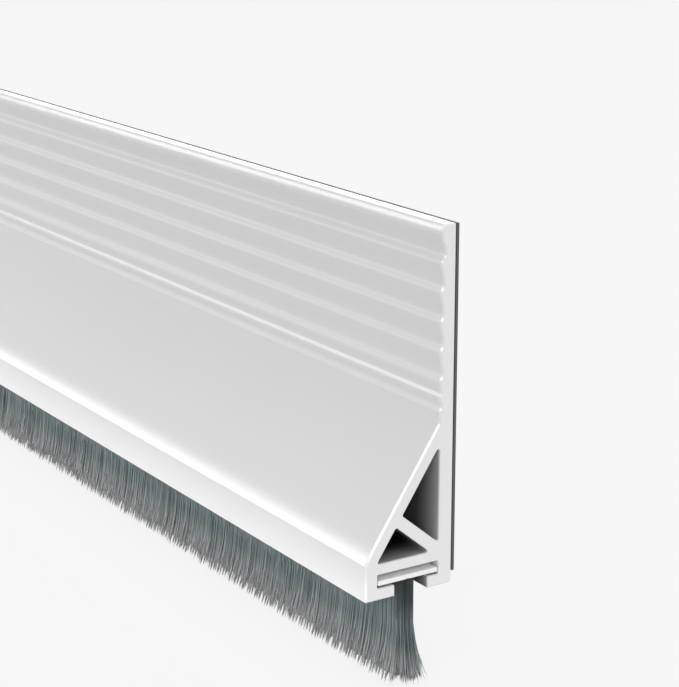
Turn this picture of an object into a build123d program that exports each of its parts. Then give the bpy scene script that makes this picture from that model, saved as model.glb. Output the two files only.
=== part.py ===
from build123d import *

import os
from math import atan2, degrees
from random import Random

# Door brush strip in millimetres. +X runs along the strip, -Y is the side that shows, +Z is up.
# The origin is the centre of the adhesive face, which lies in the plane Y = 0.
strip_length = 726.0

# Carrier, a white aluminium extrusion cut square at both ends
carrier_height = 57.0
plate_thickness = 2.75
back_wall = 2.6
nose_wall = 2.15
nose_height = 5.95
slope_top_height = 26.3
slope_wall = 2.0
brace_thickness = 2.0
brace_head_height = 12.0
roof_thickness = 1.7
lip_thickness = 1.95
chamber_round = 0.3
slot_round = 0.2
edge_round = 0.3

# Ribs on the front of the plate, counted down from its bevelled top edge
top_bevel_height = 1.4
top_bevel_width = 0.4
rib_pitch = 4.6
rib_upper_flank = 1.6
rib_depth = 0.45
top_groove_depth = 0.75

# Brush insert: a plastic backing strip that slides in the slot, and the pile that hangs from it
base_width = 11.0
base_thickness = 0.9
base_round = 0.2
base_side_clearance = 0.15
base_lip_clearance = 0.3
base_head_room = 1.05
pile_thickness = 3.2
pile_length = 17.0
pile_straight_length = 7.0
pile_flare = 1.7
flare_steps = 2
pile_front_clearance = 0.9
pile_back_clearance = 2.05

# Tufts that the filaments gather into towards their tips
tuft_pitch = 2.4
tuft_tip_width = 1.0
tuft_gap_shortest = 2.5
tuft_gap_longest = 7.0
tuft_raggedness = 1.1
tuft_seed = 11

# Double-sided tape, flush with the carrier's ends and top edge
tape_thickness = 0.4
tape_bottom_margin = 2.0

# Section levels above the carrier's bottom edge, and stations in front of its back face
tape_height = carrier_height - tape_bottom_margin
slot_width = base_width + 2 * base_side_clearance
slot_height = base_lip_clearance + base_thickness + base_head_room
slot_top = lip_thickness + slot_height
chamber_floor = slot_top + roof_thickness
base_bottom = lip_thickness + base_lip_clearance
slot_back = -back_wall
slot_front = slot_back - slot_width
slot_middle = (slot_back + slot_front) / 2
nose_front = slot_front - nose_wall
pile_front = slot_middle - pile_thickness / 2
pile_back = slot_middle + pile_thickness / 2

# Plane of the section: its origin is the carrier's bottom back corner, its normal runs along the strip
section_plane = Plane(
    origin=(0, -tape_thickness, tape_height / 2 - carrier_height),
    x_dir=(0, 1, 0),
    z_dir=(1, 0, 0),
)


def along_strip(sketch):
    """Extrude a section over the whole strip, half to each side of the middle."""
    return extrude(section_plane * sketch, amount=strip_length / 2, both=True)


def flank(start, end):
    """One side of a rib: two equal tangent arcs that leave and arrive parallel to the plate."""
    middle = ((start[0] + end[0]) / 2, (start[1] + end[1]) / 2)
    return TangentArc(start, middle, tangent=(0, -1)) + TangentArc(end, middle, tangent=(0, 1))


def ribbed_front():
    """The plate's front from the top bevel to the last crest, and the height of that crest."""
    crest_level = carrier_height - top_bevel_height
    rib_count = int((crest_level - slope_top_height) // rib_pitch)
    depth = top_groove_depth
    line = Curve()
    for _ in range(rib_count):
        groove_level = crest_level - (rib_pitch - rib_upper_flank)
        next_crest_level = crest_level - rib_pitch
        groove = (depth - plate_thickness, groove_level)
        line += flank((-plate_thickness, crest_level), groove)
        line += flank(groove, (-plate_thickness, next_crest_level))
        crest_level = next_crest_level
        depth = rib_depth
    return line, crest_level


def carrier_outline():
    """The section without its slot and chambers: ribbed plate, sloping skirt and blunt nose."""
    front, last_crest = ribbed_front()
    nose_foot = (nose_front, 0)
    nose_top = (nose_front, nose_height)
    slope_top = (-plate_thickness, slope_top_height)
    back_foot = (0, 0)
    edge = front + Polyline(
        (-plate_thickness, last_crest),
        slope_top,
        nose_top,
        nose_foot,
        back_foot,
        (0, carrier_height),
        (top_bevel_width - plate_thickness, carrier_height),
        (-plate_thickness, carrier_height - top_bevel_height),
    )
    outline = make_face(edge)
    for corner in (nose_foot, nose_top, slope_top, back_foot):
        outline = fillet(outline.vertices().sort_by_distance(corner)[0], edge_round)
    return outline


def brush_slot():
    """The T-slot: a flat channel for the backing strip, open downwards between two lips."""
    channel = Pos(slot_middle, lip_thickness + slot_height / 2) * RectangleRounded(
        slot_width, slot_height, slot_round
    )
    mouth_front = pile_front - pile_front_clearance
    mouth_back = pile_back + pile_back_clearance
    mouth = Pos((mouth_front + mouth_back) / 2, base_bottom / 2) * Rectangle(
        mouth_back - mouth_front, base_bottom
    )
    return channel + mouth


def chambers():
    """The hollow behind the slope, cut in two by a brace from its inner corner to the slope wall."""
    slope_run = nose_front + plate_thickness
    slope_rise = nose_height - slope_top_height
    slope_foot = (nose_front, nose_height)
    inner_corner = Vector(slot_back, chamber_floor)
    wall_shift = slope_wall / abs(Vector(slope_run, slope_rise).normalized().Y)

    def inner_face_at(level):
        """The station of the slope wall's inner face at a height."""
        return slope_foot[0] + wall_shift + (level - nose_height) * slope_run / slope_rise

    tip_level = nose_height + (slot_back - inner_face_at(nose_height)) * slope_rise / slope_run
    hollow = make_face(
        Polyline(
            inner_corner,
            (slot_back, tip_level),
            (inner_face_at(chamber_floor), chamber_floor),
            close=True,
        )
    )
    brace_head = Vector(inner_face_at(brace_head_height), brace_head_height)
    reach = brace_head - inner_corner
    brace_angle = degrees(atan2(reach.Y, reach.X))
    brace = (
        Pos(inner_corner.X, inner_corner.Y)
        * Rot(0, 0, brace_angle)
        * Rectangle(2 * reach.length + 2 * slope_wall, brace_thickness)
    )
    cells = hollow - brace
    return fillet(cells.vertices(), chamber_round)


def carrier_profile():
    return along_strip(carrier_outline() - brush_slot() - chambers())


def brush_base():
    section = RectangleRounded(base_width, base_thickness, base_round)
    return along_strip(Pos(slot_middle, base_bottom + base_thickness / 2) * section)


def pile_section():
    """The pile seen from its end: straight below the backing strip, then bending out like a parabola."""
    flare_level = base_bottom - pile_straight_length
    flare_height = pile_length - pile_straight_length
    steps = [step / flare_steps for step in range(flare_steps + 1)]
    back = [(pile_back + pile_flare * s**2, flare_level - flare_height * s) for s in steps]
    front = [(pile_front - pile_flare * s**2, flare_level - flare_height * s) for s in reversed(steps)]
    root = [(pile_front, base_bottom), (pile_back, base_bottom)]
    return make_face(Polyline(*root, *back, *front, close=True))


def tuft_comb():
    """The pile seen from the front: tufts with blunt, uneven tips and narrow gaps between them."""
    draw = Random(tuft_seed).uniform
    tuft_count = round(strip_length / tuft_pitch)
    pitch = strip_length / tuft_count
    tip_level = base_bottom - pile_length
    right = strip_length / 2
    points = [(right, base_bottom), (-right, base_bottom), (-right, tip_level + draw(0, tuft_raggedness))]
    for tuft in range(tuft_count):
        middle = (tuft + 0.5) * pitch - right
        slack = (pitch - tuft_tip_width) / 4
        tip = middle + draw(-slack, slack)
        for side in (-1, 1):
            level = tip_level + draw(0, tuft_raggedness)
            points.append((tip + side * tuft_tip_width / 2, level))
        gap = draw(tuft_gap_shortest, tuft_gap_longest)
        points.append((middle + pitch / 2, tip_level + gap))
    points[-1] = (right, tip_level + draw(0, tuft_raggedness))
    return make_face(Polyline(*points, close=True))


def brush_pile():
    front_plane = Plane(
        origin=(0, section_plane.origin.Y, section_plane.origin.Z), x_dir=(1, 0, 0), z_dir=(0, -1, 0)
    )
    comb = extrude(front_plane * tuft_comb(), amount=-nose_front)
    return along_strip(pile_section()) & comb


def adhesive_tape():
    section = Rectangle(tape_thickness, tape_height)
    return along_strip(Pos(tape_thickness / 2, carrier_height - tape_height / 2) * section)


os.makedirs("parts", exist_ok=True)
for piece in (carrier_profile, brush_base, brush_pile, adhesive_tape):
    export_step(piece(), f"parts/{piece.__name__}.step")
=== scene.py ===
import math

import bpy
import numpy as np
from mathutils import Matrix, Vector
from mathutils.geometry import tessellate_polygon


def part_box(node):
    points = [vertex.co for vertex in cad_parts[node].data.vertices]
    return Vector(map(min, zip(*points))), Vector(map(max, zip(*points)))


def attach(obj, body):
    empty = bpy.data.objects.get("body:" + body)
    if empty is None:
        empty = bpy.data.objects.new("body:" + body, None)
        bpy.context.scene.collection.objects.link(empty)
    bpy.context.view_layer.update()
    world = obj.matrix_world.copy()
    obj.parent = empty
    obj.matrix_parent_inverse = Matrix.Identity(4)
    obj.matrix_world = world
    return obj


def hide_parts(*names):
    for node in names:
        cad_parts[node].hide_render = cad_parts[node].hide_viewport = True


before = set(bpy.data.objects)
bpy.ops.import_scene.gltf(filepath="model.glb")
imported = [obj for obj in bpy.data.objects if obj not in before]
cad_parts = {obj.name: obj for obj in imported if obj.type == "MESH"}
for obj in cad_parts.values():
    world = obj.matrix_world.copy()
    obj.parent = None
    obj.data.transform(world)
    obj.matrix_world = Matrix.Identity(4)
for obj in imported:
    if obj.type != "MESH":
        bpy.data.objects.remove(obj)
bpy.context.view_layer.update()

# Carrier: one aluminium extrusion with a ribbed plate, a hollow sloping skirt, a T-slot and two lips.
# It is pressed through a die, sawn square, its sawn edges are broken, and it is powder coated white.
# Its section is drawn in millimetres from its bottom back corner, and the side that shows faces -Y.

MM = 0.001
carrier_low, carrier_high = (np.array(corner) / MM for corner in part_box("carrier_profile"))
half_length = carrier_high[0]
back_face = carrier_high[1]
bottom_edge = carrier_low[2]
carrier_height = carrier_high[2] - carrier_low[2]
nose_front = carrier_low[1] - carrier_high[1]

# Plate, slope and nose. The slope ends in a soft arc, which gives the bright band along its foot.
plate_thickness = 2.75
top_bevel_height = 1.4
top_bevel_width = 0.4
slope_top_height = 26.3
slope_wall = 2.0
slope_foot_drop = 0.55
slope_foot_length = 3.4
nose_height = 5.95
nose_wall = 2.15
back_wall = 2.6

# Brace, slot roof, slot and lips
brace_thickness = 2.0
brace_head_height = 12.0
roof_thickness = 1.7
slot_height = 2.25
lip_thickness = 1.95
mouth_front = -10.75
mouth_back = -4.6

# Ribs. The top groove is the deepest, and a narrow ledge splits the last one: each turn of that rib
# is given by its depth and by its drop below the crest above. The ledge shows as a bright line.
rib_pitch = 4.6
rib_upper_flank = 1.6
rib_depth = 0.45
top_groove_depth = 0.75
last_rib = ((0.26, 1.35), (0, 2.35), (0.32, 3.5), (0, rib_pitch))

# Rounds of the section, and the chamfers that break the sawn edges
edge_round = 0.3
crease_round = 0.04
lip_round = 0.12
slot_round = 0.2
chamber_round = 0.3
broken_edge = 0.28
inner_edge = 0.06

# How bare of powder the inner walls are, and how much painted shade they carry: lower and upper chamber,
# slot, and the tops of the lips
chamber_bare_and_painted_shade = (0.85, 0.65)
slot_bare_and_painted_shade = 0.1
lip_bare_and_painted_shade = 0.95
lip_top_reach = 0.3

slot_top = lip_thickness + slot_height
chamber_floor = slot_top + roof_thickness
slot_back = -back_wall
slot_front = nose_front + nose_wall


def tangent_arc(start, direction, end, steps=5):
    """Arc that leaves start along a unit direction and reaches end: its radius is the chord squared
    over twice the chord's part across the direction, and its points are spaced by equal turns."""
    start, direction, end = (np.asarray(v, float) for v in (start, direction, end))
    across = np.array((-direction[1], direction[0]))
    chord = end - start
    radius = chord @ chord / (2 * chord @ across)
    turn = 2 * math.atan2(chord @ across, chord @ direction)
    angle = np.linspace(0, turn, steps)[:, None]
    return start + radius * (np.sin(angle) * direction + (1 - np.cos(angle)) * across)


def rib_flank(start, end):
    """One side of a rib: two equal arcs, each parallel to the plate at its outer end, that meet midway."""
    middle = (np.asarray(start) + end) / 2
    upper = tangent_arc(start, (0, -1), middle)
    lower = tangent_arc(end, (0, 1), middle)
    return np.concatenate((upper[:-1], lower[::-1]))


def rounded(corners, radius, steps=6):
    """Rounds every corner of a closed outline. The centre lies on the corner's bisector at the radius
    over the sine of half the angle, and a spoke turns about it from one tangent point to the other."""
    corners = np.asarray(corners, float)
    radius = np.broadcast_to(radius, len(corners)).astype(float)[:, None]

    def unit(v):
        """Rows of vectors, each over its own length."""
        return v / np.linalg.norm(v, axis=1, keepdims=True)

    before = unit(np.roll(corners, 1, 0) - corners)
    after = unit(np.roll(corners, -1, 0) - corners)
    half = np.arccos((before * after).sum(1, keepdims=True)) / 2
    centre = corners + unit(before + after) * radius / np.sin(half)
    first = corners + before * radius / np.tan(half) - centre
    last = corners + after * radius / np.tan(half) - centre
    turn = (np.pi - 2 * half)[:, None]
    share = np.linspace(0, 1, steps)[None, :, None]
    spokes = np.sin((1 - share) * turn) * first[:, None] + np.sin(share * turn) * last[:, None]
    return centre[:, None] + spokes / np.sin(turn)


def meet(point, direction, other_point, other_direction):
    """The point where two lines of the section cross: the distances along both that lead to one point
    are solved together."""
    both = np.array((direction, -np.asarray(other_direction))).T
    along = np.linalg.solve(both, np.asarray(other_point, float) - point)
    return point + along[0] * np.asarray(direction)


def carried_along_strip(name, loops, chamfers, marks=()):
    """Carries closed outlines along X from end to end. Material lies on the left of each outline. At
    both ends every point draws back into the material by its own chamfer, along the mitre of its two
    walls, and a flat cap closes the outlines. Marks gives names to face values: outline by outline,
    one value for each wall between the ends."""
    deepest = max(chamfer.max() for chamfer in chamfers)
    station = np.array((-half_length, deepest - half_length, half_length - deepest, half_length))
    inset = np.array((1, 0, 0, 1))
    verts, walls, near_rings, far_rings, count = [], [], [], [], 0
    for loop, chamfer in zip(loops, chamfers):
        ahead = np.roll(loop, -1, 0) - loop
        ahead /= np.linalg.norm(ahead, axis=1, keepdims=True)
        left = np.stack((-ahead[:, 1], ahead[:, 0]), 1)
        before = np.roll(left, 1, 0)
        mitre = (left + before) / (1 + (left * before).sum(1, keepdims=True))
        ring = loop[None] + inset[:, None, None] * (chamfer[:, None] * mitre)[None]
        x = np.broadcast_to(station[:, None, None], ring.shape[:2] + (1,))
        verts.append(np.concatenate((x, ring), 2).reshape(-1, 3))
        i = np.arange(len(loop))
        j = np.roll(i, -1)
        k = np.arange(len(station) - 1)[:, None]
        here, there = count + k * len(loop), count + (k + 1) * len(loop)
        walls.append(np.stack((here + i, here + j, there + j, there + i), 2).reshape(-1, 4))
        near_rings.append(count + i)
        far_rings.append(count + (len(station) - 1) * len(loop) + i)
        count += len(station) * len(loop)
    verts = np.concatenate(verts)

    # Both ends are closed by the same triangles between the outlines, turned to face outwards
    cap = np.array(tessellate_polygon([verts[ring].tolist() for ring in far_rings]))
    near_ring, far_ring = np.concatenate(near_rings), np.concatenate(far_rings)
    a, b, c = (verts[far_ring[cap[:, k]]][:, 1:] for k in range(3))
    clockwise = (b - a)[:, 0] * (c - a)[:, 1] < (b - a)[:, 1] * (c - a)[:, 0]
    cap[clockwise] = cap[clockwise][:, ::-1]
    faces = np.concatenate(walls).tolist()
    faces += far_ring[cap].tolist() + near_ring[cap[:, ::-1]].tolist()
    mesh = bpy.data.meshes.new(name)
    mesh.from_pydata((verts * MM).tolist(), [], faces)

    # Only the long walls between the two chamfers keep the marks
    between = inset[:-1] + inset[1:] == 0
    for mark, values in dict(marks).items():
        values = np.concatenate([(between[:, None] * value[None]).ravel() for value in values])
        values = np.pad(values.astype(np.float32), (0, len(faces) - len(values)))
        mesh.attributes.new(mark, "FLOAT", "FACE").data.foreach_set("value", values)

    # The section's rounds are shaded smooth, and every edge of a sawn end stays sharp
    sharpest_round = 32
    mesh.shade_smooth()
    mesh.set_sharp_from_angle(angle=math.radians(sharpest_round))
    ends = np.zeros(len(mesh.edges) * 2, np.int32)
    mesh.edges.foreach_get("vertices", ends)
    across = np.ptp(verts[ends.reshape(-1, 2), 0], axis=1) == 0
    sharp = np.zeros(len(mesh.edges), bool)
    mesh.attributes["sharp_edge"].data.foreach_get("value", sharp)
    mesh.attributes["sharp_edge"].data.foreach_set("value", sharp | across)
    piece = bpy.data.objects.new(name, mesh)
    bpy.context.scene.collection.objects.link(piece)
    return piece


first_crest = np.array((-plate_thickness, carrier_height - top_bevel_height))
rib_count = int((first_crest[1] - slope_top_height) // rib_pitch)
groove_drop = rib_pitch - rib_upper_flank
turns = [(top_groove_depth, groove_drop), (0, rib_pitch)]
for rib in range(1, rib_count - 1):
    turns += [(rib_depth, rib * rib_pitch + groove_drop), (0, (rib + 1) * rib_pitch)]
ledge_flank = len(turns) + 1
last_crest_drop = (rib_count - 1) * rib_pitch
turns += [(depth, last_crest_drop + drop) for depth, drop in last_rib]
turns = first_crest + np.array([(0, 0), *turns]) * (1, -1)
flanks = [rib_flank(start, end)[:-1] for start, end in zip(turns[:-1], turns[1:])]
ribs = np.concatenate((*flanks, turns[-1:]))

slope_top = np.array((-plate_thickness, slope_top_height))
slope_aim = np.array((nose_front, nose_height + slope_foot_drop))
down_slope = (slope_aim - slope_top) / np.linalg.norm(slope_aim - slope_top)
nose_top = np.array((nose_front, nose_height))
foot = tangent_arc(slope_aim - slope_foot_length * down_slope, down_slope, nose_top, 8)

# The corners at the first crest and in the foot's arc only give their neighbours a direction: the ribs
# and the arc themselves take their place in the outline
corners = [
    (0, 0), (0, carrier_height), (top_bevel_width - plate_thickness, carrier_height),
    first_crest, slope_top, foot[-2], nose_top, (nose_front, 0),
    (mouth_front, 0), (mouth_front, lip_thickness), (slot_front, lip_thickness),
    (slot_front, slot_top), (slot_back, slot_top), (slot_back, lip_thickness),
    (mouth_back, lip_thickness), (mouth_back, 0),
]
radii = [edge_round] * 4 + [crease_round] + [edge_round] * 3
radii += [lip_round] * 2 + [slot_round] * 4 + [lip_round] * 2
turned = rounded(corners, radii)
outline = np.concatenate((*turned[:3], ribs, turned[4], foot[:-1], *turned[6:]))

into_wall = np.array((-down_slope[1], down_slope[0]))
inner_slope = slope_aim + slope_wall * into_wall
inner_corner = np.array((slot_back, chamber_floor))
brace_head = meet((0, brace_head_height), (1, 0), inner_slope, down_slope)
brace = (brace_head - inner_corner) / np.linalg.norm(brace_head - inner_corner)
brace_side = np.array((-brace[1], brace[0])) * brace_thickness / 2
under_brace, over_brace = inner_corner + brace_side, inner_corner - brace_side
lower_chamber = [
    meet((0, chamber_floor), (1, 0), inner_slope, down_slope),
    meet(under_brace, brace, inner_slope, down_slope),
    meet(under_brace, brace, (0, chamber_floor), (1, 0)),
]
upper_chamber = [
    meet(over_brace, brace, inner_slope, down_slope),
    meet((slot_back, 0), (0, 1), inner_slope, down_slope),
    meet(over_brace, brace, (slot_back, 0), (0, 1)),
]
hollows = [rounded(cell, chamber_round).reshape(-1, 2) for cell in (lower_chamber, upper_chamber)]

y, z = outline.T
near = 0.01
in_channel = (y > slot_front - near) & (y < slot_back + near)
in_channel &= (z > lip_thickness - near) & (z < slot_top + near)
in_mouth = (y > mouth_front - near) & (y < mouth_back + near) & (z < lip_thickness)
in_slot = in_channel | in_mouth
# The tops of the lips, under the backing strip, carry the most painted shade
slot_walls = np.where(np.abs(z - lip_thickness) < lip_top_reach, lip_bare_and_painted_shade, slot_bare_and_painted_shade)
slot_walls = slot_walls * (in_slot & np.roll(in_slot, -1))
ribbed = np.zeros(len(outline))
first_rib_wall = 3 * len(turned[0])
coarse_flank = np.arange(len(flanks)) != ledge_flank
ribbed[first_rib_wall:first_rib_wall + len(ribs) - 1] = np.repeat(coarse_flank, len(flanks[0]))
chamber_walls = [np.full(len(hollow), share) for hollow, share in zip(hollows, chamber_bare_and_painted_shade)]
chamber_edges = [np.full(len(hollow), inner_edge) for hollow in hollows]
carrier = carried_along_strip(
    "carrier",
    [loop + (back_face, bottom_edge) for loop in (outline, *hollows)],
    [np.where(in_slot, inner_edge, broken_edge), *chamber_edges],
    {
        "bare_metal_and_painted_shade": [slot_walls, *chamber_walls],
        "ribbed": [ribbed, *(np.zeros(len(hollow)) for hollow in hollows)],
    },
)


def linear(hex_colour):
    """Turns an sRGB colour such as EEEEEE into the linear colour that shaders take: a straight line
    near black, and above it the power of 2.4."""
    srgb = np.array([int(hex_colour[i:i + 2], 16) for i in (0, 2, 4)]) / 255
    return (*np.where(srgb <= 0.04045, srgb / 12.92, ((srgb + 0.055) / 1.055) ** 2.4), 1)


def add(material, kind, inputs=(), **settings):
    """Adds one node: settings are its properties, and inputs are values or the sockets that feed it."""
    new = material.node_tree.nodes.new(kind)
    for key, value in settings.items():
        setattr(new, key, value)
    for key, value in dict(inputs).items():
        if isinstance(value, bpy.types.NodeSocket):
            material.node_tree.links.new(value, new.inputs[key])
        else:
            new.inputs[key].default_value = value
    return new


def finish_of(name, **sockets):
    """A new material with the values of its surface shader, and that shader."""
    material = bpy.data.materials.new(name)
    material.use_nodes = True
    shader = material.node_tree.nodes["Principled BSDF"]
    for key, value in sockets.items():
        shader.inputs[key.replace("_", " ")].default_value = value
    return material, shader


# Satin polyester powder coat, sprayed and baked: an even white with a faint orange peel, over the die
# lines of the extrusion, which are drawn coarser than the real ones so that they show. On the ribs the
# coat is duller, and they shine in soft bands. The spray hardly reaches the chambers and the tops of the
# lips, whose dark grey is partly bare, dull aluminium and partly painted shade of these recesses. Past a
# dusting towards the sawn ends it lightens, which is also painted light where light reaches in.
powder_coat, shader = finish_of("white_powder_coat", IOR=1.7)
peel_size = 1.1 * MM
peel_height = 0.02 * MM
line_spacing = 0.5 * MM
line_height = 0.01 * MM
line_stretch = 250
tone_size = 60 * MM
plain_grain = 0.22
rib_grain = 0.42
dust_and_painted_light_reach = 6.0
end_dusting_and_painted_light = 0.35
place = add(powder_coat, "ShaderNodeTexCoord").outputs["Object"]
peel = add(
    powder_coat, "ShaderNodeTexNoise", {"Vector": place, "Scale": 1 / peel_size, "Detail": 2.0}
).outputs["Fac"]
along = add(
    powder_coat, "ShaderNodeMapping", {"Vector": place, "Scale": (1 / line_stretch, 1, 1)}
).outputs["Vector"]
lines = add(
    powder_coat, "ShaderNodeTexNoise", {"Vector": along, "Scale": 1 / line_spacing, "Detail": 1.0}
).outputs["Fac"]
tone = add(
    powder_coat, "ShaderNodeTexNoise", {"Vector": place, "Scale": 1 / tone_size, "Detail": 3.0}
).outputs["Fac"]
white = add(
    powder_coat,
    "ShaderNodeMix",
    {"Factor": tone, "A": linear("E8E8E8"), "B": linear("ECECEC")},
    data_type="RGBA",
).outputs["Result"]
rib_walls = add(powder_coat, "ShaderNodeAttribute", attribute_name="ribbed").outputs["Fac"]
grain = add(
    powder_coat, "ShaderNodeMapRange", {"Value": rib_walls, "To Min": plain_grain, "To Max": rib_grain}
).outputs["Result"]
split = add(powder_coat, "ShaderNodeSeparateXYZ", {"Vector": place}).outputs
from_middle = add(powder_coat, "ShaderNodeMath", {0: split["X"]}, operation="ABSOLUTE").outputs["Value"]
# Towards the sawn ends the inner walls lighten: a dusting of powder, and painted light where light reaches
# in
undusted_and_painted_shade = add(
    powder_coat,
    "ShaderNodeMapRange",
    {
        "Value": from_middle,
        "From Min": (half_length - dust_and_painted_light_reach) * MM,
        "From Max": half_length * MM,
        "To Min": 1.0,
        "To Max": end_dusting_and_painted_light,
    },
).outputs["Result"]
inner_walls = add(powder_coat, "ShaderNodeAttribute", attribute_name="bare_metal_and_painted_shade").outputs["Fac"]
bare_metal_and_painted_shade = add(
    powder_coat, "ShaderNodeMath", {0: inner_walls, 1: undusted_and_painted_shade}, operation="MULTIPLY"
).outputs["Value"]
# The dark grey on the inner walls is bare aluminium and painted shade together
surface = add(
    powder_coat,
    "ShaderNodeMix",
    {"Factor": bare_metal_and_painted_shade, "A": white, "B": linear("5C5D5E")},
    data_type="RGBA",
).outputs["Result"]
peel_bump = add(
    powder_coat, "ShaderNodeBump", {"Height": peel, "Strength": 0.12, "Distance": peel_height}
).outputs["Normal"]
line_bump = add(
    powder_coat,
    "ShaderNodeBump",
    {"Height": lines, "Strength": 0.1, "Distance": line_height, "Normal": peel_bump},
).outputs["Normal"]
powder_coat.node_tree.links.new(surface, shader.inputs["Base Color"])
powder_coat.node_tree.links.new(bare_metal_and_painted_shade, shader.inputs["Metallic"])
powder_coat.node_tree.links.new(grain, shader.inputs["Roughness"])
powder_coat.node_tree.links.new(line_bump, shader.inputs["Normal"])
carrier.data.materials.append(powder_coat)
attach(carrier, "carrier")
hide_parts("carrier_profile")


# Adhesive tape: a thin double-sided acrylic foam tape on the back of the plate.
# It is rolled on flush with the plate's top edge and with both sawn ends.

# Dark closed-cell foam with a tacky skin: matt, faintly cloudy, and pitted by cells that are drawn
# coarser than the real ones so that they show.
tape_foam, shader = finish_of("dark_acrylic_foam", Roughness=0.55, IOR=1.47)
cell_size = 0.35 * MM
cell_depth = 0.05 * MM
cloud_size = 12 * MM
place = add(tape_foam, "ShaderNodeTexCoord").outputs["Object"]
cells = add(
    tape_foam, "ShaderNodeTexVoronoi", {"Vector": place, "Scale": 1 / cell_size}
).outputs["Distance"]
cloud = add(
    tape_foam, "ShaderNodeTexNoise", {"Vector": place, "Scale": 1 / cloud_size, "Detail": 4.0}
).outputs["Fac"]
grey = add(
    tape_foam,
    "ShaderNodeMix",
    {"Factor": cloud, "A": linear("4C4D4E"), "B": linear("5A5B5C")},
    data_type="RGBA",
).outputs["Result"]
pits = add(
    tape_foam, "ShaderNodeBump", {"Height": cells, "Strength": 0.3, "Distance": cell_depth}
).outputs["Normal"]
tape_foam.node_tree.links.new(grey, shader.inputs["Base Color"])
tape_foam.node_tree.links.new(pits, shader.inputs["Normal"])
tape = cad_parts["adhesive_tape"]
tape.data.materials.clear()
tape.data.materials.append(tape_foam)


# Brush backing: a flat strip of white polypropylene that carries the filaments on its underside.
# It is extruded, cut with the carrier, and slides in the T-slot from either end.
# Its underside is lifted a little, so that a dark gap shows over the lips.

base_low, base_high = (np.array(corner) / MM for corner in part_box("brush_base"))
base_round = 0.2
base_broken_edge = 0.08
base_lift = 0.13
low, high = base_low[1:] + (0, base_lift), base_high[1:]
strip_corners = [(high[0], low[1]), (high[0], high[1]), (low[0], high[1]), (low[0], low[1])]
strip_outline = rounded(strip_corners, base_round).reshape(-1, 2)
backing = carried_along_strip(
    "brush_backing", [strip_outline], [np.full(len(strip_outline), base_broken_edge)]
)

# Extruded polypropylene: milky white and half matt, with faint flow lines along its length.
plastic, shader = finish_of("white_polypropylene", Roughness=0.42, IOR=1.49)
flow_spacing = 0.8 * MM
flow_height = 0.02 * MM
flow_stretch = 100
place = add(plastic, "ShaderNodeTexCoord").outputs["Object"]
along = add(
    plastic, "ShaderNodeMapping", {"Vector": place, "Scale": (1 / flow_stretch, 1, 1)}
).outputs["Vector"]
flow = add(plastic, "ShaderNodeTexNoise", {"Vector": along, "Scale": 1 / flow_spacing}).outputs["Fac"]
milky = add(
    plastic,
    "ShaderNodeMix",
    {"Factor": flow, "A": linear("F4F4F2"), "B": linear("FAFAF8")},
    data_type="RGBA",
).outputs["Result"]
flow_bump = add(
    plastic, "ShaderNodeBump", {"Height": flow, "Strength": 0.15, "Distance": flow_height}
).outputs["Normal"]
plastic.node_tree.links.new(milky, shader.inputs["Base Color"])
plastic.node_tree.links.new(flow_bump, shader.inputs["Normal"])
backing.data.materials.append(plastic)
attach(backing, "brush_insert")
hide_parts("brush_base")


# Brush pile: more than a hundred thousand fine grey nylon filaments welded to the backing strip.
# They stand close and straight at the root, then the pile splays towards the floor, and the cut tips
# gather into small ragged tufts. Mainly those near the outside are drawn, over one dense heart.

pile_low, pile_high = (np.array(corner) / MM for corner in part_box("brush_pile"))
tip_over = 0.45
pile_middle = (pile_low[1] + pile_high[1]) / 2
pile_root = pile_high[2]
pile_reach = pile_high[2] - pile_low[2] + tip_over
root_half = 1.7
root_hidden = 0.3
straight_length = 7.0
solid_length = 17.0
straight_share = straight_length / solid_length
flare = 1.7
end_round = 1.3
end_flare = 1.1

# Filaments: how many, how thick, how many of them lie in the skin of the pile and how deep that is,
# which share of the half-round ends stays empty, and where along a filament its rings and its tip lie
filament_count = 38000
end_filaments = 500
stretch_count = 5
filament_radius = 0.06
skin_share = 0.9
skin_depth = 0.12
end_hollow = 0.1
ring_places = (0, 0.5, 0.78, 0.92, 1.0)

# Tufts: from which share of the length they gather and how closely, and how uneven they are
tuft_pitch = 0.85
tuft_from = 0.82
tuft_pull = 0.95
tuft_scatter = 0.4
tuft_uneven = 0.5
tuft_point = 1.75
hollow_tip = 2.2
length_scatter = 0.09
lean_scatter = 0.05

# Stray hairs, which are more frequent at the ends and lean outwards there
stray_share = 0.015
stray_at_ends = 7
stray_scatter = 0.5
stray_outward = 1.4

# Dense heart, drawn in from the skin and shorter than the filaments
heart_end = 0.5
heart_depth = 0.12
heart_share = 0.88
heart_uneven = 0.02
heart_flare = 0.93
heart_end_narrowing = 0.98
heart_levels = 7

# Shades of grey, from 0 to 1: the filaments along the strip are lighter than those at its ends, whose darker
# grey is painted shade, each has its own scatter, and the ends' tips turn a little less pale
painted_end_shade = 0.55
shade_scatter = 0.3
heart_shades = (0.5, 0.7)
end_paling_loss = 0.1
draw = np.random.default_rng(7)


def splayed(way):
    """How far the pile has opened at a share of its length: 0 while straight, then as the square."""
    return np.clip((way - straight_share) / (1 - straight_share), 0, None) ** 2


def hashed(number):
    """A fixed scatter between 0 and 1 for a number: the fraction of a large multiple of its sine."""
    return np.abs(np.sin(number * 12.9898) * 43758.5453) % 1


def end_turn(x, half, radius):
    """How deep in a half-round end a place along the strip lies: 0 before it, 1 or -1 at its tip."""
    return np.sign(x) * np.clip((np.abs(x) - half) / radius + 1, 0, 1)


def pile_piece(mesh, **values):
    """An object of the mesh, which keeps each set of values on its points under the set's name."""
    for key, value in values.items():
        value = np.ravel(value).astype(np.float32)
        mesh.attributes.new(key, "FLOAT", "POINT").data.foreach_set("value", value)
    piece = bpy.data.objects.new(mesh.name, mesh)
    bpy.context.scene.collection.objects.link(piece)
    return piece


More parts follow.
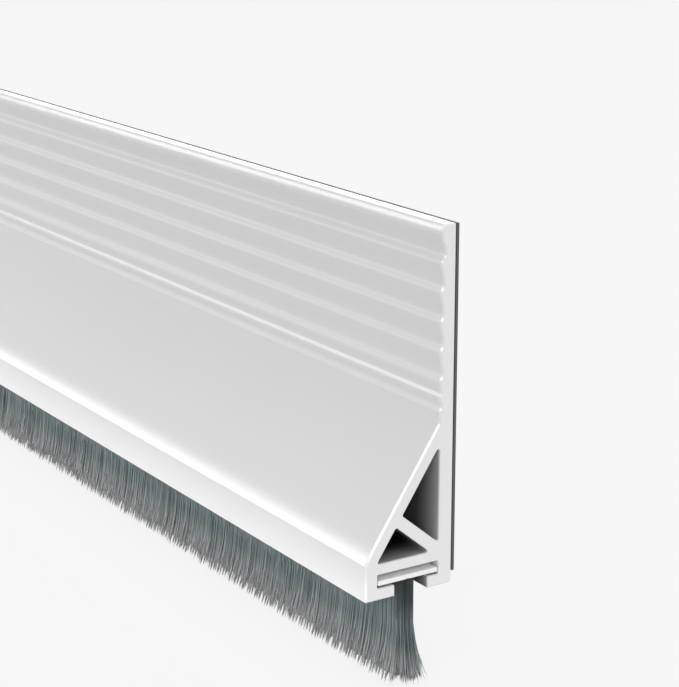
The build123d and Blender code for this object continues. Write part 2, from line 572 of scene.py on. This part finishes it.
def filaments(name, x, across):
    """One filament for each place along and across the pile. It runs straight down from its root and
    then moves out with the splay. Near its tip it bends towards the middle of its tuft, and it is shorter
    the further it is from that middle, as the square, and the deeper it is inside the pile. Four rings of
    three points and a pointed tip close it. Its points keep their share of its length as reach, its own
    shade of grey, and body, which is 1 along the strip and falls to 0 at the pile's ends."""
    count = len(x)
    # Four layers stand one behind the other across the pile, and each has tufts of its own
    layer = np.floor((across + 1) * 2)
    shift = hashed(layer + 0.5)
    tuft = np.floor(x / tuft_pitch + shift)
    key = tuft + 1000 * layer
    off_middle = (tuft + 0.5 - shift + tuft_scatter * (hashed(key) - 0.5)) * tuft_pitch - x
    turn = end_turn(x, half_length, end_round)
    length = (
        pile_reach
        - tuft_uneven * hashed(key + 0.3)
        - tuft_point * (2 * off_middle / tuft_pitch) ** 2
        - hollow_tip * (1 - across**2) * (1 - np.abs(turn))
        - draw.exponential(length_scatter, count)
    )
    stray = draw.uniform(0, 1, count) < stray_share * (1 + stray_at_ends * np.abs(turn))
    way = np.array(ring_places)[None]
    gather = np.clip((way - tuft_from) / (1 - tuft_from), 0, 1) ** 1.5
    lean = draw.normal(0, lean_scatter, count)
    lean += stray * (draw.normal(0, stray_scatter, count) + stray_outward * turn)
    splay = flare * across + draw.normal(0, lean_scatter, count)
    splay += stray * draw.normal(0, stray_scatter, count)
    along = lean[:, None] * way**2 + end_flare * turn[:, None] * splayed(way)
    line = np.stack(
        (
            x[:, None] + along + (tuft_pull * off_middle)[:, None] * gather,
            pile_middle + root_half * across[:, None] + splay[:, None] * splayed(way),
            pile_root + root_hidden - (length + root_hidden)[:, None] * way,
        ),
        2,
    )
    angle = draw.uniform(0, 2 * np.pi, (count, 1, 1)) + np.arange(3) * 2 * np.pi / 3
    ring = filament_radius * np.stack((np.cos(angle), np.sin(angle), 0 * angle), 3)
    rings = way.size - 1
    points = np.concatenate(((line[:, :-1, None] + ring).reshape(count, -1, 3), line[:, -1:]), 1)
    each = np.arange(count)[:, None, None] * (rings * 3 + 1)
    k = np.arange(rings - 1)[None, :, None] * 3
    i = np.arange(3)[None, None]
    j = (i + 1) % 3
    sides = np.stack((each + k + i, each + k + 3 + i, each + k + 3 + j, each + k + j), 3).reshape(-1, 4)
    last = each + (rings - 1) * 3
    tips = np.stack(np.broadcast_arrays(last + i, each + rings * 3, last + j), 3).reshape(-1, 3)
    roots = each[:, 0] + np.array((0, 1, 2))
    mesh = bpy.data.meshes.new(name)
    mesh.from_pydata(
        (points.reshape(-1, 3) * MM).tolist(), [], [*sides.tolist(), *tips.tolist(), *roots.tolist()]
    )
    mesh.shade_smooth()
    # Filaments at the pile's ends go without the painted end shade's lift, so they are darker: painted
    # shade. Strays take the lightest grey.
    shade = painted_end_shade * (1 - np.abs(turn)) + shade_scatter * draw.uniform(0, 1, count)
    shade = np.repeat(np.maximum(shade, stray), rings * 3 + 1)
    reach = (1 - end_paling_loss * np.abs(turn))[:, None] * np.append(np.repeat(way[0, :-1], 3), 1)
    body = np.repeat(1 - np.abs(turn), rings * 3 + 1)
    return pile_piece(mesh, shade=shade, reach=reach, body=body)


def dense_heart(name):
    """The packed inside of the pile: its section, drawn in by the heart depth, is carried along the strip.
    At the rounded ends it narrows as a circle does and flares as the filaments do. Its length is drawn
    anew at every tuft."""
    half = half_length - heart_end
    station = np.linspace(-half, half, round(2 * half / tuft_pitch))
    rounding = end_round * (1 - np.cos(np.linspace(0, np.pi / 2, 6)[1:]))
    station = np.unique(np.concatenate((station, half - rounding, rounding - half)))
    way = np.linspace(0, 1, heart_levels)
    way = np.concatenate((way, way[::-1]))
    side = np.repeat((-1, 1), heart_levels)
    share = heart_share + heart_uneven * (2 * draw.uniform(0, 1, len(station)) - 1)
    gone = share[:, None] * way[None]
    turn = end_turn(station, half, end_round)[:, None]
    narrow = np.sqrt(1 - heart_end_narrowing * turn**2)
    y = pile_middle + side * narrow * (root_half - heart_depth + flare * splayed(gone) * heart_flare)
    z = pile_root + root_hidden - (pile_reach + root_hidden) * gone
    x = station[:, None] + end_flare * turn * splayed(gone)
    rows, around = y.shape
    k = np.arange(rows - 1)[:, None] * around
    i = np.arange(around)[None]
    j = (i + 1) % around
    sides = np.stack((k + i, k + j, k + around + j, k + around + i), 2).reshape(-1, 4)
    mesh = bpy.data.meshes.new(name)
    mesh.from_pydata(
        (np.stack((x, y, z), 2).reshape(-1, 3) * MM).tolist(),
        [],
        [*sides.tolist(), [*range(around)][::-1], [*range((rows - 1) * around, rows * around)]],
    )
    shade = np.repeat(draw.uniform(*heart_shades, rows), around)
    return pile_piece(mesh, shade=shade, reach=gone, body=np.repeat(1 - np.abs(turn), around))


# Drawn nylon, dyed grey with a touch of blue: each filament takes the dye a little differently, the close
# roots at the pile's ends are painted darker as shade, and the cut, frayed tips scatter more light and look
# paler.
nylon, shader = finish_of("grey_nylon_filament", Roughness=0.5, IOR=1.53)
painted_root_shade_reach = 0.18
clear_reach = 0.4
paling_reach = 0.6
shade = add(nylon, "ShaderNodeAttribute", attribute_name="shade").outputs["Fac"]
reach = add(nylon, "ShaderNodeAttribute", attribute_name="reach").outputs["Fac"]
body = add(nylon, "ShaderNodeAttribute", attribute_name="body").outputs["Fac"]
dye = add(
    nylon,
    "ShaderNodeMix",
    {"Factor": shade, "A": linear("4F5B5D"), "B": linear("7B8A8C")},
    data_type="RGBA",
).outputs["Result"]
below_root = add(
    nylon, "ShaderNodeMapRange", {"Value": reach, "From Min": painted_root_shade_reach, "From Max": clear_reach}
).outputs["Result"]
clear = add(
    nylon, "ShaderNodeMath", {0: body, 1: below_root}, operation="MAXIMUM"
).outputs["Value"]
# The roots at the pile's ends are turned nearly black: painted shade
dye = add(
    nylon,
    "ShaderNodeMix",
    {"Factor": clear, "A": linear("2C3335"), "B": dye},
    data_type="RGBA",
).outputs["Result"]
paling = add(
    nylon, "ShaderNodeMapRange", {"Value": reach, "From Min": paling_reach, "From Max": 1.0}
).outputs["Result"]
pale = add(
    nylon,
    "ShaderNodeMix",
    {"Factor": paling, "A": dye, "B": linear("C3C4C4")},
    data_type="RGBA",
).outputs["Result"]
nylon.node_tree.links.new(pale, shader.inputs["Base Color"])

straight_half = half_length - end_round
spread = draw.uniform(-straight_half, straight_half, filament_count)
depth = draw.uniform(0, 1, filament_count)
in_skin = draw.uniform(0, 1, filament_count) < skin_share
across = np.sign(draw.uniform(-1, 1, filament_count)) * np.where(in_skin, 1 - skin_depth * depth, depth)
angle = draw.uniform(-np.pi / 2, np.pi / 2, 2 * end_filaments)
ring = np.sqrt(draw.uniform(end_hollow, 1, 2 * end_filaments))
ends = np.repeat((-1, 1), end_filaments) * (straight_half + end_round * ring * np.cos(angle))
spread = np.concatenate((spread, ends))
across = np.concatenate((across, ring * np.sin(angle)))
bounds = np.linspace(-half_length, half_length, stretch_count + 1)
stretch_of = np.digitize(spread, bounds[1:-1])
stretches = [
    filaments(f"brush_pile_{stretch + 1}", spread[stretch_of == stretch], across[stretch_of == stretch])
    for stretch in range(stretch_count)
]
for pile in (dense_heart("brush_pile_heart"), *stretches):
    pile.data.materials.append(nylon)
    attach(pile, "brush_insert")
    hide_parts("brush_pile")


# Studio: a pale floor just under the filaments' tips, soft light all round and a few soft boxes.
# The camera stands close to the right-hand end and looks along the strip, a little from above.

floor_gap = 0.2
floor_level = pile_low[2] - tip_over - floor_gap
floor_half = 12000
floor_glow = 0.85
floor_corners = floor_half * np.array(((-1, -1, 0), (1, -1, 0), (1, 1, 0), (-1, 1, 0)))
floor_mesh = bpy.data.meshes.new("floor")
floor_mesh.from_pydata(((floor_corners + (0, 0, floor_level)) * MM).tolist(), [], [(0, 1, 2, 3)])
floor = bpy.data.objects.new("floor", floor_mesh)
bpy.context.scene.collection.objects.link(floor)


def seen_by(surroundings):
    """1 for a ray that shows the surroundings straight, in a gloss or through something clear, else 0."""
    rays = add(surroundings, "ShaderNodeLightPath").outputs
    seen = rays["Is Camera Ray"]
    for ray in ("Is Glossy Ray", "Is Transmission Ray"):
        seen = add(
            surroundings, "ShaderNodeMath", {0: seen, 1: rays[ray]}, operation="MAXIMUM"
        ).outputs["Value"]
    return seen


# Matt pale paint. Where it is seen, straight or in a gloss, most of its white is its own glow, so that it
# stays even and keeps a soft shadow. To the diffuse light on the strip it adds only what paint would.
floor_paint, shader = finish_of("pale_floor", Base_Color=linear("E6E6E6"), Roughness=0.8)
share = add(
    floor_paint, "ShaderNodeMapRange", {"Value": seen_by(floor_paint), "To Max": floor_glow}
).outputs["Result"]
glow = add(floor_paint, "ShaderNodeEmission", {"Strength": 1.0}).outputs["Emission"]
mixed = add(
    floor_paint, "ShaderNodeMixShader", {0: share, 1: shader.outputs["BSDF"], 2: glow}
).outputs["Shader"]
floor_paint.node_tree.links.new(mixed, floor_paint.node_tree.nodes["Material Output"].inputs["Surface"])
floor_mesh.materials.append(floor_paint)

sky_light = 0.47
backdrop_white = 0.9
world = bpy.data.worlds.new("studio")
world.use_nodes = True
sky = add(
    world, "ShaderNodeMapRange", {"Value": seen_by(world), "To Min": sky_light, "To Max": backdrop_white}
).outputs["Result"]
background = world.node_tree.nodes["Background"]
background.inputs["Color"].default_value = (1, 1, 1, 1)
world.node_tree.links.new(sky, background.inputs["Strength"])
bpy.context.scene.world = world

# A lamp that is given this collection lights everything but the floor
floor_spared = bpy.data.collections.new("floor_spared")
floor_spared.objects.link(floor)
floor_spared.collection_objects[0].light_linking.link_state = "EXCLUDE"


def soft_box(name, place, aim, width, height, power, spread=180, on_floor=True):
    """A rectangular lamp at a place in millimetres, turned towards a point, whose light opens by the
    spread in degrees. One that would leave a bright patch on the floor spares it."""
    lamp = bpy.data.lights.new(name, "AREA")
    lamp.shape = "RECTANGLE"
    lamp.size, lamp.size_y = width * MM, height * MM
    lamp.energy = power
    lamp.spread = math.radians(spread)
    box = bpy.data.objects.new(name, lamp)
    box.location = np.array(place) * MM
    away = box.location - Vector(np.array(aim) * MM)
    box.rotation_euler = away.to_track_quat("Z", "Y").to_euler()
    box.visible_camera = False
    if not on_floor:
        box.light_linking.receiver_collection = floor_spared
    bpy.context.scene.collection.objects.link(box)


# A wide box lights everything from above, and one behind the plate is mirrored in its top edge. One at the
# side lights the sawn end. The two toe boxes show in the ribs and along the slope's foot, the key in the
# broken edges of the sawn end, and a thin strip near the floor lifts the nose and the pile.
soft_box("overhead", (250, -50, 900), (250, -49, 0), 1000, 900, 2.4)
soft_box("top_mirror", (-100, 200, 110), (-100, 0, 110), 500, 120, 0.37, on_floor=False)
soft_box("right_side", (1100, 250, 280), (363, 0, 0), 600, 600, 2.5, on_floor=False)
soft_box("toe_far", (-960, -657, 150), (-960, 0, 150), 720, 160, 1.45, on_floor=False)
soft_box("toe_near", (-430, -657, 150), (-430, 0, 150), 300, 160, 0.85, on_floor=False)
soft_box("front_key", (823, -498, 270), (363, -9, 0), 110, 170, 0.6)
soft_box("low_front", (0, -38, -41), (0, -16, -34), 790, 5, 0.028, spread=95)

# The camera's place is measured from the bottom back corner of the carrier's right-hand end
camera_offset = (227.9, -167.6, 116.3)
camera_turn = 57.2
camera_tilt = 15.4
focal_pixels = 1948.0
picture_height = 687
sensor = 36.0
lens = bpy.data.cameras.new("camera")
lens.sensor_width = sensor
lens.lens = focal_pixels / picture_height * sensor
camera = bpy.data.objects.new("camera", lens)
camera.location = (np.array((half_length, back_face, bottom_edge)) + camera_offset) * MM
camera.rotation_euler = (math.radians(90 - camera_tilt), 0, math.radians(camera_turn))
bpy.context.scene.collection.objects.link(camera)
bpy.context.scene.camera = camera
bpy.context.scene.view_settings.view_transform = "Standard"
